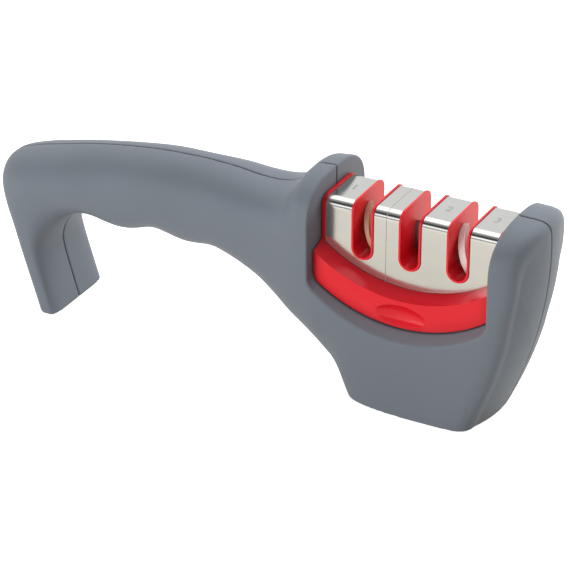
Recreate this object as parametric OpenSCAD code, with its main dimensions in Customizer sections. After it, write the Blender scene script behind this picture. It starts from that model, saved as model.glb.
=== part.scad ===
// Hand-held three-stage knife sharpener.
// A two-part moulded housing carries a lift-out cartridge with three slots. A knife is drawn
// along Y through a slot, edge down, and rests where two abrasive plates cross.
// Frame: X runs from the heel of the handle to the nose, Y across, Z up from the worktop.

/* [Overall] */
// Length from the heel of the handle to the nose
length = 203; // [196:1:212]
// Height of the ear beside the handle, the highest point
height = 74.2; // [73:0.2:77]
// Width of the head at its widest
width = 45; // [44:0.2:47]

/* [Housing] */
// Thickness of the moulded walls
wall = 2.4; // [2:0.1:2.8]
// Length of the bay that takes the cartridge
bay_length = 63.8; // [62:0.2:66]
// Length of the nose beyond the bay
nose_length = 12.2; // [11:0.2:14]
// Height of the bay's floor at its middle
sill_height = 30.3; // [28:0.1:31]
// Radius of the bay's curved floor, seen from the front
smile_radius = 52; // [49:0.5:58]
// Radius of the corners where the floor meets the ears
smile_corner = 5.2; // [4:0.1:6]
// How far the window flares down between the bay's floor and the outer face
window_flare = 2.3; // [1.4:0.1:2.8]
// Depth of one finger scallop under the grip
scallop_depth = 2.6; // [1:0.1:3.2]
// Distance between finger scallops
scallop_pitch = 25.4; // [22:0.2:28]

/* [Cartridge] */
// Depth of the red tray, front face to rear face
tray_depth = 34.2; // [32:0.2:35]
// Height of the tray's curved front band
band_height = 9.6; // [8.6:0.1:10.4]
// How far the ledge climbs from the band to the steel cover
ledge_rise = 1.6; // [0.8:0.1:2.2]
// Height of the cover's top above the ledge at the middle
cover_rise = 27.5; // [26.5:0.1:28.5]
// Depth of the steel cover, front to rear
cover_depth = 21.9; // [20.8:0.1:23]
// Outer radius of the cover's shoulders
cover_shoulder = 3.4; // [2.6:0.1:4.4]
// Thickness of the cover's sheet steel
cover_sheet = 0.6; // [0.5:0.05:0.8]
// How deep the cover's lower edges sit in the ledge
cover_tuck = 1.6; // [1:0.1:2]
// Thickness of the end flanges beside the cover
flange = 1.2; // [1:0.05:1.5]

/* [Slots] */
// Distance between slots
slot_pitch = 16.9; // [16:0.1:17.6]
// Width of the cut-outs in the steel cover
slot_width = 8; // [7.4:0.1:8.8]
// Depth of the slots below the cover's top
slot_depth = 19.4; // [18.4:0.1:20.2]
// Width of the red bead that lines each cut-out
bead = 0.8; // [0.6:0.05:1]
// How far the bead and the flanges stand proud of the steel
bead_proud = 0.35; // [0.2:0.05:0.5]

/* [Abrasives] */
// Height of the crossing point, where the knife edge rests
crossing_height = 55; // [54.4:0.1:55.6]
// Radius of the half-moon plates' curved edge
plate_radius = 10; // [9.6:0.1:10.4]
// How far behind the seam the middle of that curve lies
plate_setback = 3; // [2.5:0.1:3.5]
// Thickness of the diamond-coated plates
diamond_thickness = 1.6; // [1.4:0.1:2]
// Thickness of the ceramic plates
ceramic_thickness = 2.4; // [2:0.1:2.8]
// Lean of the half-moon plates from upright
plate_lean = 16; // [15:0.5:18]
// Width of the carbide blades
blade_width = 5; // [4.2:0.1:5.6]
// Length of the carbide blades
blade_length = 12; // [10:0.2:12.6]
// Thickness of the carbide blades
blade_thickness = 1.5; // [1.2:0.1:2]
// Lean of the carbide blades from upright
blade_lean = 16; // [14:0.5:20]

/* [Pads] */
// Thickness of the rubber pads
pad_thickness = 1.8; // [1.4:0.1:2.2]
// How far the pads stand out below the housing
pad_proud = 0.3; // [0.25:0.05:0.5]
// Length of the pad under the head
base_pad_length = 34; // [30:0.5:36]
// Width of the pad under the head
base_pad_width = 31; // [28:0.5:33]
// Length of the pad under the heel
foot_pad_length = 4.6; // [4:0.1:5]
// Width of the pad under the heel
foot_pad_width = 23; // [20:0.5:24]

/* [Screws] */
// Shank radius of the housing screws
screw_radius = 1.4; // [1.2:0.05:1.6]
// Length of the housing screws' shanks
screw_length = 14; // [12:0.5:15]
// Distance from the seam to the seat of the housing screws' heads
screw_seat = 8; // [7:0.25:8.5]
// Shank radius of the cartridge screws
post_screw_radius = 1; // [0.8:0.05:1.1]
// Length of the cartridge screws' shanks
post_screw_length = 12; // [10:0.5:13]
// Distance from the seam to the seat of the cartridge screws' heads
post_screw_seat = 6.4; // [6:0.1:6.8]

/* [Hidden] */

$fn = 64;
// Overrun of every cut past the face it opens
over = 1;
// Gap between the cartridge and the bay, each side
side_clear = 0.45;
// Gap between the cartridge and the bay's floor
floor_clear = 0.3;
// Gap between pieces that seat in one another
fit = 0.12;

handle_length = length - bay_length - nose_length;
head_x = length / 2 - nose_length - bay_length / 2;
bay_left = head_x - bay_length / 2;
bay_right = head_x + bay_length / 2;
front_y = tray_depth / 2;

cart_length = bay_length - 2 * side_clear;
cart_floor = sill_height + floor_clear;
ledge_z = cart_floor + band_height;
arc_centre = ledge_z + smile_radius;
cover_half = cover_depth / 2;
cover_top = ledge_z + cover_rise;
cover_length = cart_length - 2 * flange;
slot_floor = cover_top - slot_depth;
channel_width = slot_width - 2 * bead;
slots = [-1, 0, 1];
posts = [-1 / 2, 1 / 2];

// Stations along the housing, from the heel's foot to the nose. In each row, the outer and the
// inner point of one section come first, each as a place along the object and a share of its
// height. A place is -1 at the heel, 0 at the bay's left wall, 1 at its right wall and 2 at the
// nose. Then come the half width as a share of half the head's width, the share of the section
// below its widest level, and how square the outer and the inner side are.
station_shares = [
    [-0.848, -0.108, -0.776, -0.108, 0.722, 0.35, 2.5, 4.4],
    [-0.867, 0.000, -0.793, 0.000, 0.722, 0.36, 2.5, 4.4],
    [-0.917, 0.270, -0.835, 0.256, 0.725, 0.42, 2.4, 4.0],
    [-0.953, 0.431, -0.836, 0.340, 0.721, 0.42, 2.3, 3.4],
    [-0.989, 0.566, -0.820, 0.406, 0.712, 0.42, 2.2, 3.0],
    [-0.998, 0.645, -0.798, 0.450, 0.703, 0.42, 2.1, 2.8],
    [-0.972, 0.711, -0.773, 0.483, 0.694, 0.42, 2.1, 2.7],
    [-0.908, 0.755, -0.741, 0.505, 0.680, 0.42, 2.1, 2.6],
    [-0.820, 0.793, -0.702, 0.515, 0.672, 0.42, 2.1, 2.5],
    [-0.710, 0.835, -0.631, 0.517, 0.660, 0.42, 2.1, 2.4],
    [-0.599, 0.865, -0.560, 0.517, 0.660, 0.42, 2.2, 2.4],
    [-0.489, 0.884, -0.477, 0.523, 0.666, 0.42, 2.3, 2.4],
    [-0.379, 0.889, -0.386, 0.527, 0.673, 0.42, 2.3, 2.4],
    [-0.292, 0.883, -0.312, 0.506, 0.694, 0.43, 2.5, 2.5],
    [-0.221, 0.870, -0.241, 0.468, 0.714, 0.45, 2.7, 2.7],
    [-0.166, 0.868, -0.176, 0.416, 0.742, 0.50, 2.8, 3.0],
    [-0.122, 0.883, -0.122, 0.354, 0.790, 0.56, 2.7, 3.4],
    [-0.091, 0.916, -0.076, 0.290, 0.842, 0.62, 2.6, 3.6],
    [-0.058, 0.986, -0.026, 0.231, 0.901, 0.70, 2.6, 3.8],
    [-0.022, 1.000, 0.045, 0.170, 0.937, 0.74, 2.6, 4.0],
    [0.094, 1.000, 0.138, 0.082, 0.959, 0.79, 2.6, 4.1],
    [0.344, 0.995, 0.253, -0.120, 0.982, 0.82, 2.6, 4.7],
    [0.625, 0.984, 0.464, -0.230, 0.998, 0.84, 2.6, 6.2],
    [0.875, 0.970, 0.678, -0.230, 1.000, 0.84, 2.6, 6.4],
    [1.150, 0.961, 0.763, -0.230, 0.992, 0.84, 2.6, 6.2],
    [1.560, 0.960, 0.793, -0.230, 0.965, 0.84, 2.7, 5.6],
    [1.820, 0.951, 0.809, -0.230, 0.917, 0.84, 2.8, 5.2],
    [1.960, 0.925, 0.816, -0.230, 0.842, 0.84, 2.8, 5.0],
    [2.000, 0.876, 0.818, -0.230, 0.715, 0.84, 2.8, 5.0],
];
// The nose's face is crowned: shares of the nose's length that it falls back at its sides and
// bulges between its top and foot. The crown fades in over crown_fade stations, and is full
// crown_rows - crown_fade stations before the last
nose_crown_share = 0.26;
nose_bulge_share = 0.54;
crown_rows = 8;
crown_fade = 3;
// Place where the two finger scallops begin
scallop_start_share = -0.702;
// Shares of the full section in the rings that close an end
cap_shares = [0.7, 0.35];
// Rings between two stations, and points from the seam on top to the seam below
steps = 3;
ring = 14;

function along(u) = u < 0 ? bay_left + u * handle_length
    : u < 1 ? bay_left + u * bay_length
    : bay_right + (u - 1) * nose_length;

// Catmull-Rom value at t between b and c
function curve(a, b, c, d, t) =
    0.5 * (2 * b + (c - a) * t + (2 * a - 5 * b + 4 * c - d) * t * t
           + (3 * b - a - 3 * c + d) * t * t * t);

function clamp_index(i) = max(0, min(len(station_shares) - 1, i));
function station(i) = let (s = station_shares[clamp_index(i)])
    [along(s[0]), s[1] * height, along(s[2]), s[3] * height, s[4] * width / 2, s[5], s[6], s[7],
     nose_weight(clamp_index(i))];
// Share of the nose's crown that a station has: none up to the middle of the bay
function nose_weight(i) = max(0, min(1, (i - len(station_shares) + crown_rows) / crown_fade));

function smooth_stations() = [
    for (i = [0 : len(station_shares) - 2])
        for (k = [0 : steps - 1])
            curve(station(i - 1), station(i), station(i + 1), station(i + 2), k / steps),
    station(len(station_shares) - 1),
];

// Depth of the finger scallops at x: two full waves that start and end without a step
function scallop(x) = let (u = (x - along(scallop_start_share)) / scallop_pitch)
    u < 0 || u > 2 ? 0 : -scallop_depth * (1 - cos(360 * u)) / 2;

// One point of a section, drawn in by inset, at turn t from the outer seam, 0, to the inner, 1
function section_point(s, inset, scale, t) =
    let (outer = [s[0], s[1]],
         inner = [s[2], s[3] + scallop(s[2])],
         span = norm(outer - inner),
         up = (outer - inner) / span,
         tall = span - 2 * inset,
         wide = (s[4] - inset) * scale,
         a = 90 - 180 * t,
         power = a > 0 ? 2 / s[6] : 2 / s[7],
         side = wide * pow(cos(a) < 0.001 ? 0 : cos(a), power),
         swing = pow(abs(sin(a)), power),
         full_level = a > 0 ? s[5] + (1 - s[5]) * swing : s[5] * (1 - swing),
         level = 0.5 + (full_level - 0.5) * scale,
         place = inner + up * (inset + tall * level),
         lean = nose_length * s[8] * (nose_bulge_share * 4 * level * (1 - level)
                                      - nose_crown_share * pow(side / s[4], 2)))
    [place[0] + lean - inset * s[8], -side, place[1]];

function section(s, inset, scale) = [for (k = [0 : ring]) section_point(s, inset, scale, k / ring)];

// The front half of the lofted form, as rings of points and the faces between them. Its flat
// side lies just behind the seam plane, so that one cut makes the seam
function half_rings(inset) =
    let (all = smooth_stations(), last = all[len(all) - 1])
    [for (s = all) section(s, inset, 1),
     for (c = cap_shares) section(last, inset, c)];

module half_loft(inset) {
    rings = half_rings(inset);
    rows = len(rings);
    cols = ring + 1;
    points = [for (r = rings) for (k = [0 : ring])
        k == 0 || k == ring ? [r[k][0], over, r[k][2]] : r[k]];
    skin = [for (i = [0 : rows - 2]) for (k = [0 : ring - 1])
        let (a = i * cols + k, b = a + 1, c = a + cols, d = c + 1)
        each [[a, c, b], [b, c, d]]];
    seam = [for (i = [0 : rows - 2])
        let (a = i * cols, b = a + ring, c = a + cols, d = c + ring)
        each [[a, b, c], [c, b, d]]];
    start = [for (k = [1 : ring - 1]) [0, k, k + 1]];
    end = [for (k = [1 : ring - 1]) let (e = (rows - 1) * cols) [e, e + k + 1, e + k]];
    polyhedron(points, concat(skin, seam, start, end));
}

// Extrudes a front view along Y from y0 to y1
module along_y(y0, y1) {
    translate([0, y1, 0]) rotate([90, 0, 0]) linear_extrude(y1 - y0) children();
}

// Extrudes a side view along X from x0 to x1
module along_x(x0, x1) {
    translate([x0, 0, 0]) rotate([90, 0, 90]) linear_extrude(x1 - x0) children();
}

// A cylinder along Y from y0 to y1, with a radius at each end
module rod_y(x, z, y0, y1, r0, r1) {
    translate([x, y0, z]) rotate([-90, 0, 0]) cylinder(h = y1 - y0, r1 = r0, r2 = r1);
}

module bore_y(x, z, y0, y1, r) {
    rod_y(x, z, y0, y1, r, r);
}

// Keeps what lies in front of the seam
module front_of_seam() {
    intersection() {
        children();
        translate([-length, -width, -height]) cube([2 * length, width, 3 * height]);
    }
}

module behind_seam() {
    mirror([0, 1, 0]) children();
}

// Rounded rectangle centred on the origin
module rounded(l, w, r) {
    square([l - 2 * r, w], center = true);
    square([l, w - 2 * r], center = true);
    for (sx = [-1, 1]) for (sy = [-1, 1])
        translate([sx * (l / 2 - r), sy * (w / 2 - r)]) circle(r);
}

// Height of the corner circle's centre where a smile of radius r and floor z meets its walls
function corner_height(l, r, z, c) =
    z + r - sqrt(pow(r - c, 2) - pow(l / 2 - c, 2));

// Front view of a form with a smile-shaped floor: upright walls l apart, floor z at the middle
module smile(l, r, z, c, top) {
    zc = corner_height(l, r, z, c);
    tangent = (l / 2 - c) * r / (r - c);
    intersection() {
        translate([0, z + r]) circle(r, $fn = 128);
        translate([-tangent, z]) square([2 * tangent, top - z]);
    }
    for (s = [-1, 1]) translate([s * (l / 2 - c), zc]) circle(c);
    translate([-l / 2, zc]) square([l, top - zc]);
}

// The same outline as points, for the bay's flared window
function smile_points(l, r, z, c, top) =
    let (zc = corner_height(l, r, z, c),
         turn = asin((l / 2 - c) / (r - c)),
         floor_arc = [for (a = [-turn : turn / 9 : turn + turn / 99])
             [r * sin(a), z + r - r * cos(a)]],
         right_arc = [for (a = [turn + (90 - turn) / 4 : (90 - turn) / 4 : 91])
             [l / 2 - c + c * sin(a), zc - c * cos(a)]],
         left_arc = [for (i = [len(right_arc) - 1 : -1 : 0]) [-right_arc[i][0], right_arc[i][1]]])
    concat([[-l / 2, top]], left_arc, floor_arc, right_arc, [[l / 2, top]]);

// The space of the bay and its window, grown by grow on every side
module bay(grow) {
    l = bay_length + 2 * grow;
    z = sill_height - grow;
    inner = front_y + side_clear;
    outer = width / 2 + over;
    // The flare reaches its full depth at the housing's face
    drop = window_flare * (outer - inner) / (width / 2 - inner);
    function at(y, drop) = [for (p = smile_points(l, smile_radius, z - drop, smile_corner + grow,
                                                   height + 2 * over)) [head_x + p[0], y, p[1]]];
    rings = [at(-outer, drop), at(-inner, 0), at(inner, 0), at(outer, drop)];
    n = len(rings[0]);
    points = [for (r = rings) each r];
    sides = [for (i = [0 : 2]) for (k = [0 : n - 1])
        let (a = i * n + k, b = i * n + (k + 1) % n) each [[a, b, a + n], [b, b + n, a + n]]];
    front = [[for (k = [n - 1 : -1 : 0]) k]];
    rear = [[for (k = [0 : n - 1]) 3 * n + k]];
    polyhedron(points, concat(sides, front, rear));
}

// Places of the housing screws, as a place along the object and a share of its height: one in
// the heel's bend, two along the grip and two under the bay
screw_place_shares = [[-0.905, 0.59], [-0.52, 0.71], [-0.15, 0.66], [0.22, 0.19], [0.81, 0.19]];
screw_places = [for (s = screw_place_shares) [along(s[0]), s[1] * height]];
boss_radius = screw_radius + wall;

// Hollow inside one half of the housing, clear of the bay's walls, the floor and the bosses
module cavity() {
    difference() {
        half_loft(wall);
        bay(wall);
        translate([-length, -width, -height])
            cube([2 * length, 2 * width, height + pad_thickness + wall]);
        for (p = screw_places) bore_y(p[0], p[1], -width, width, boss_radius);
    }
}

// Places of the pads' middles along the object, and how round their corners are
base_pad_place_share = 0.53;
foot_pad_place_share = -0.829;
base_pad_corner_share = 0.25;
foot_pad_corner_share = 0.45;
base_pad_x = along(base_pad_place_share);
foot_pad_x = along(foot_pad_place_share);

module base_pad_shape(grow) {
    translate([base_pad_x, 0]) rounded(base_pad_length + 2 * grow, base_pad_width + 2 * grow,
                                       base_pad_corner_share * base_pad_width + grow);
}

module foot_pad_shape(grow) {
    translate([foot_pad_x, 0]) rounded(foot_pad_length + 2 * grow, foot_pad_width + 2 * grow,
                                       foot_pad_corner_share * foot_pad_length + grow);
}

// Upright guide ribs on the bay's end walls, in the seam, that the cartridge slides along
rib_width = 3;
rib_height = 2 * side_clear;
rib_top_share = 0.9;
rib_foot_share = 0.62;
rib_top = rib_top_share * height;
rib_foot = rib_foot_share * height;

module guide_ribs() {
    for (s = [-1, 1])
        translate([head_x + s * (bay_length - rib_height) / 2, -rib_width / 2, rib_foot])
            translate([-rib_height / 2 - (s > 0 ? 0 : over), 0, 0])
                cube([rib_height + over, rib_width, rib_top - rib_foot]);
}

module housing_half() {
    front_of_seam() {
        difference() {
            half_loft(0);
            cavity();
            bay(0);
            translate([-length, -width, -height])
                cube([2 * length, 2 * width, height + pad_proud]);
            translate([0, 0, -over]) linear_extrude(pad_thickness + over) {
                base_pad_shape(fit);
                foot_pad_shape(fit);
            }
        }
        guide_ribs();
    }
}

module housing_front() {
    color([0.47, 0.5, 0.53]) difference() {
        housing_half();
        for (p = screw_places)
            bore_y(p[0], p[1], screw_seat - screw_length - 2 * fit, over, screw_radius + fit);
    }
}

module housing_rear() {
    color([0.47, 0.5, 0.53]) difference() {
        behind_seam() housing_half();
        for (p = screw_places) {
            bore_y(p[0], p[1], -over, width, screw_radius + 2 * fit);
            bore_y(p[0], p[1], screw_seat, width, head_share * screw_radius + 2 * fit);
        }
    }
}

// A pan-head screw's sizes as shares of its shank's radius: the head's radius, its height, the
// radius of its crown and the width of the cross recess
head_share = 2;
head_height_share = 1.6;
crown_share = 1.4;
recess_share = 0.4;

// A pan-head screw along Y: its head seats at y = seat and its shank runs towards the front
module screw(x, z, seat, r, shank) {
    head = head_height_share * r;
    brim = head_share * r;
    difference() {
        union() {
            rod_y(x, z, seat - shank + r, seat + head / 2, r, r);
            rod_y(x, z, seat - shank, seat - shank + r, r / 3, r);
            rod_y(x, z, seat, seat + head / 2, brim, brim);
            rod_y(x, z, seat + head / 2, seat + head, brim, crown_share * r);
        }
        for (a = [0, 90]) translate([x, seat + head, z]) rotate([0, a, 0])
            cube([brim, head, recess_share * r], center = true);
    }
}

module housing_screws() {
    color([0.72, 0.73, 0.74])
        for (p = screw_places) screw(p[0], p[1], screw_seat, screw_radius, screw_length);
}

module base_pad() {
    color([0.16, 0.16, 0.17]) linear_extrude(pad_thickness) base_pad_shape(0);
}

module foot_pad() {
    color([0.16, 0.16, 0.17]) linear_extrude(pad_thickness) foot_pad_shape(0);
}

// Side view of the hooded block under and around the cover
module hood(half, top, corner, low) {
    translate([-half, low]) square([2 * half, top - corner - low]);
    translate([-half + corner, low]) square([2 * (half - corner), top - low]);
    for (s = [-1, 1]) translate([s * (half - corner), top - corner]) circle(corner);
}

// Front view of a slot, w wide with a round floor
module slot_shape(x, w, floor_z) {
    translate([x, floor_z + w / 2]) circle(w / 2);
    translate([x - w / 2, floor_z + w / 2]) square([w, height]);
}

function slot_x(i) = head_x + i * slot_pitch;

// Height of the cartridge screws above the ledge, as a share of the cover's rise
post_height_share = 0.62;
post_z = ledge_z + post_height_share * cover_rise;
// What lies between the cover's outer face and the block inside it
inside = cover_sheet + fit;
post_x = [for (p = posts) slot_x(p)];

// A half-moon plate in front of the seam, leaning to the left, grown on every side for its seat
module half_moon(x, thickness, grow) {
    translate([x, 0, crossing_height]) rotate([0, -plate_lean, 0]) front_of_plate(grow)
        translate([0, plate_setback, 0]) rotate([0, 90, 0])
            cylinder(h = thickness + 2 * grow, r = plate_radius + grow, center = true);
}

module front_of_plate(grow) {
    intersection() {
        children();
        translate([-plate_radius, grow - fit - 2 * plate_radius, -2 * plate_radius])
            cube([2 * plate_radius, 2 * plate_radius, 4 * plate_radius]);
    }
}

// A carbide blade in front of the seam. Its cutting edge leans to the right through the crossing
module carbide(x, grow) {
    translate([x, 0, crossing_height]) rotate([0, blade_lean, 0])
        translate([-grow, -blade_thickness - fit - grow, -blade_length / 2 - grow])
            cube([blade_width + 2 * grow, blade_thickness + 2 * grow, blade_length + 2 * grow]);
}

// Front view of the whole cartridge up to a height
module cartridge_outline(top) {
    translate([head_x, 0]) smile(cart_length, smile_radius, cart_floor, smile_corner, top);
}

// Tray with its curved band, its conical ledge and the groove that holds the cover
module tray() {
    difference() {
        along_y(-front_y, 0) cartridge_outline(height - over);
        translate([head_x, 0, arc_centre]) ledge_cut();
        cover_groove();
    }
}

// Block inside the cover, and the end flanges that close the cover's ends
module core() {
    intersection() {
        along_y(-front_y, 0) cartridge_outline(height + over);
        union() {
            along_x(head_x - cart_length / 2, head_x + cart_length / 2)
                hood(cover_half - inside, cover_top - inside, cover_shoulder - inside, 0);
            for (s = [-1, 1]) translate([s * (cart_length - flange) / 2, 0, 0])
                along_x(head_x - flange / 2, head_x + flange / 2)
                    hood(cover_half + bead_proud, cover_top + bead_proud,
                         cover_shoulder + bead_proud, ledge_z / 2);
        }
    }
}

// Everything of the cartridge's plastic in front of the seam, with seats for plates of the given
// thickness in its left and its right slot
module cartridge_half(left_plate, right_plate) {
    difference() {
        union() {
            tray();
            core();
            for (i = slots) bead_block(slot_x(i));
        }
        for (i = slots) along_y(-width, over) slot_shape(slot_x(i), channel_width, slot_floor + bead);
        finger_dimple();
        guide_grooves();
        lightening();
        half_moon(slot_x(-1), left_plate, fit);
        half_moon(slot_x(1), right_plate, fit);
        carbide(slot_x(0), fit);
    }
}

// What lies above the ledge: a cone along Y whose radius shrinks from the band to the cover
module ledge_cut() {
    rotate([90, 0, 0]) rotate_extrude($fn = 128) polygon([
        [0, -over],
        [smile_radius - ledge_rise, -over],
        [smile_radius - ledge_rise, cover_half],
        [smile_radius, front_y],
        [smile_radius, front_y + over],
        [0, front_y + over],
    ]);
}

module bead_block(x) {
    intersection() {
        along_x(x - slot_width / 2, x + slot_width / 2)
            hood(cover_half + bead_proud, cover_top + bead_proud, cover_shoulder + bead_proud, 0);
        along_y(-width, 0) slot_shape(x, slot_width - 2 * fit, slot_floor + fit);
    }
}

// The sheet's section, from its tucked lower edges over the top
module cover_section() {
    difference() {
        hood(cover_half, cover_top, cover_shoulder, ledge_z / 2);
        hood(cover_half - cover_sheet, cover_top - cover_sheet, cover_shoulder - cover_sheet, 0);
    }
}

module cover_groove() {
    intersection() {
        along_x(head_x - cover_length / 2 - fit, head_x + cover_length / 2 + fit)
            difference() {
                hood(cover_half + fit, ledge_z + smile_radius, cover_shoulder, 0);
                hood(cover_half - inside, cover_top - inside, cover_shoulder - inside, 0);
            }
        bore_y(head_x, arc_centre, -width, width, smile_radius - ledge_rise + cover_tuck + fit);
    }
}

// Oval pinch dimple in the middle of the band: a spindle turned about an axis in front of it
dimple_length = 16;
dimple_height = 6;
dimple_depth = 1.2;
dimple_rise_share = 0.5;
module finger_dimple() {
    belly = (pow(dimple_height / 2, 2) + pow(dimple_depth, 2)) / (2 * dimple_depth);
    bow = (pow(dimple_length / 2, 2) + pow(dimple_depth, 2)) / (2 * dimple_depth);
    translate([head_x, -front_y - belly + dimple_depth, cart_floor + dimple_rise_share * band_height])
        rotate([0, 90, 0]) rotate_extrude() intersection() {
            translate([belly - bow, 0]) circle(bow, $fn = 128);
            translate([0, -dimple_length / 2]) square([belly, dimple_length]);
        }
}

module guide_grooves() {
    for (s = [-1, 1]) translate([head_x + s * cart_length / 2, 0, 0])
        translate([-side_clear - 2 * fit, -rib_width / 2 - 2 * fit, 0])
            cube([2 * side_clear + 4 * fit, rib_width + 4 * fit, rib_top + 2 * fit]);
}

// Cored-out pockets under the slots, open at the seam: wide in the tray, and narrower above the
// ledge, inside the cover's block
module lightening() {
    core_wall = wall - 2 * fit;
    tray_reach = front_y - core_wall;
    block_reach = cover_half - inside - core_wall;
    for (i = slots) intersection() {
        along_y(-tray_reach, over) translate([head_x, 0])
            smile(cart_length - 2 * core_wall, smile_radius - core_wall, cart_floor + core_wall,
                  smile_corner - core_wall, height);
        translate([slot_x(i) - (slot_pitch - core_wall) / 2, 0, 0]) {
            translate([0, -tray_reach, 0])
                cube([slot_pitch - core_wall, tray_reach + over, ledge_z - core_wall]);
            translate([0, -block_reach, 0])
                cube([slot_pitch - core_wall, block_reach + over,
                      crossing_height - plate_radius - core_wall]);
        }
    }
}

module cartridge_front() {
    color([0.87, 0.2, 0.24]) difference() {
        cartridge_half(diamond_thickness, ceramic_thickness);
        for (x = post_x)
            bore_y(x, post_z, post_screw_seat - post_screw_length - 2 * fit, over,
                   post_screw_radius + fit);
    }
}

module cartridge_rear() {
    color([0.87, 0.2, 0.24]) difference() {
        rotate_to_rear(head_x) cartridge_half(ceramic_thickness, diamond_thickness);
        for (x = post_x) {
            bore_y(x, post_z, -over, width, post_screw_radius + 2 * fit);
            bore_y(x, post_z, post_screw_seat, width, head_share * post_screw_radius + 2 * fit);
        }
    }
}

module steel_cover() {
    color([0.8, 0.8, 0.78]) difference() {
        intersection() {
            along_x(head_x - cover_length / 2, head_x + cover_length / 2) cover_section();
            bore_y(head_x, arc_centre, -width, width, smile_radius - ledge_rise + cover_tuck);
        }
        for (i = slots) along_y(-width, width) slot_shape(slot_x(i), slot_width, slot_floor);
    }
}

module cartridge_screws() {
    color([0.72, 0.73, 0.74])
        for (x = post_x) screw(x, post_z, post_screw_seat, post_screw_radius, post_screw_length);
}

module diamond_plate_front() {
    color([0.62, 0.55, 0.45]) half_moon(slot_x(-1), diamond_thickness, 0);
}

module diamond_plate_rear() {
    color([0.62, 0.55, 0.45]) rotate_to_rear(slot_x(-1)) half_moon(slot_x(-1), diamond_thickness, 0);
}

module ceramic_plate_front() {
    color([0.95, 0.94, 0.92]) half_moon(slot_x(1), ceramic_thickness, 0);
}

module ceramic_plate_rear() {
    color([0.95, 0.94, 0.92]) rotate_to_rear(slot_x(1)) half_moon(slot_x(1), ceramic_thickness, 0);
}

module carbide_blade_front() {
    color([0.45, 0.46, 0.48]) carbide(slot_x(0), 0);
}

module carbide_blade_rear() {
    color([0.45, 0.46, 0.48]) rotate_to_rear(slot_x(0)) carbide(slot_x(0), 0);
}

// Half a turn about the upright line through x: the rear piece of a pair leans the other way
module rotate_to_rear(x) {
    translate([x, 0, 0]) rotate([0, 0, 180]) translate([-x, 0, 0]) children();
}

housing_front();
housing_rear();
housing_screws();
base_pad();
foot_pad();
cartridge_front();
cartridge_rear();
steel_cover();
cartridge_screws();
diamond_plate_front();
diamond_plate_rear();
carbide_blade_front();
carbide_blade_rear();
ceramic_plate_front();
ceramic_plate_rear();
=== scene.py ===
"""Looks of a hand-held three-stage knife sharpener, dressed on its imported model.

Lengths in the dataclasses are millimetres, as on a drawing; meshes are metres. X runs from the
heel of the handle to the nose, Y from the front to the rear and Z up from the worktop.
"""
import logging
import math
from collections.abc import Iterator, Sequence
from contextlib import contextmanager
from dataclasses import dataclass, field
from enum import Enum

import bmesh
import bpy
import numpy as np
from bmesh.types import BMesh
from bpy.types import ID, Material, Mesh, Node, NodeSocket, NodeTree, Object, World
from mathutils import Matrix, Vector
from mathutils.bvhtree import BVHTree


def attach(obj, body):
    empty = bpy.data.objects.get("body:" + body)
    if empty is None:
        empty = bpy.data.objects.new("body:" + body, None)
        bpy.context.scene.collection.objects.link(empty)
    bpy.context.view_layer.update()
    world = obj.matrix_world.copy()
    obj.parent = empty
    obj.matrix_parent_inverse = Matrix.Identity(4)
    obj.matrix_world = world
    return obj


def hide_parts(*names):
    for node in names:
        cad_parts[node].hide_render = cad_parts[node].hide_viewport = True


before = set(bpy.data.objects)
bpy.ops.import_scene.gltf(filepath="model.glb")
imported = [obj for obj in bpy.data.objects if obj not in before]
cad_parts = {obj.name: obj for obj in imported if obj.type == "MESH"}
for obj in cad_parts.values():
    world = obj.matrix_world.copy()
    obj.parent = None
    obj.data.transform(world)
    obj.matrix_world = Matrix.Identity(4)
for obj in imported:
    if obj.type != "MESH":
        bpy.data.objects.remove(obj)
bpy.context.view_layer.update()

LOG = logging.getLogger("sharpener")
MM = 0.001
PHOTO_WIDTH = 570
SENSOR_WIDTH = 36.0
# How far a cutting tool reaches past its work, and how near points are one point, in millimetres
OVER = 1.0
WELD = 0.001
# Degrees within which two facets lie in one plane
FLAT = 0.4
# Segments of the cover's shoulders and of the round end of a cut-out
SHOULDER_SEGMENTS = 10
SLOT_SEGMENTS = 20

Point = tuple[float, float]
Spot = tuple[float, float, float]
Colour = tuple[float, float, float]


class Body(Enum):
    """The CAD bodies that pieces ride on."""

    HOUSING = "housing"
    CARTRIDGE = "cartridge"


class Slot(Enum):
    """The record's material slots."""

    HOUSING = "housing"
    CARTRIDGE = "cartridge"
    COVER = "cover"
    SCREWS = "screws"
    PADS = "pads"
    DIAMOND = "diamond"
    CARBIDE = "carbide"
    CERAMIC = "ceramic"


class Side(Enum):
    """The two moulded halves, by the sign of their outward Y."""

    FRONT = -1
    REAR = 1


class Axis(Enum):
    """Direction in which an outline is extruded."""

    X = 0
    Y = 1
    Z = 2

    @property
    def others(self) -> list[int]:
        """Numbers of the two other axes."""
        return [i for i in range(3) if i != self.value]


# Sizes that several sub-assemblies share


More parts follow.
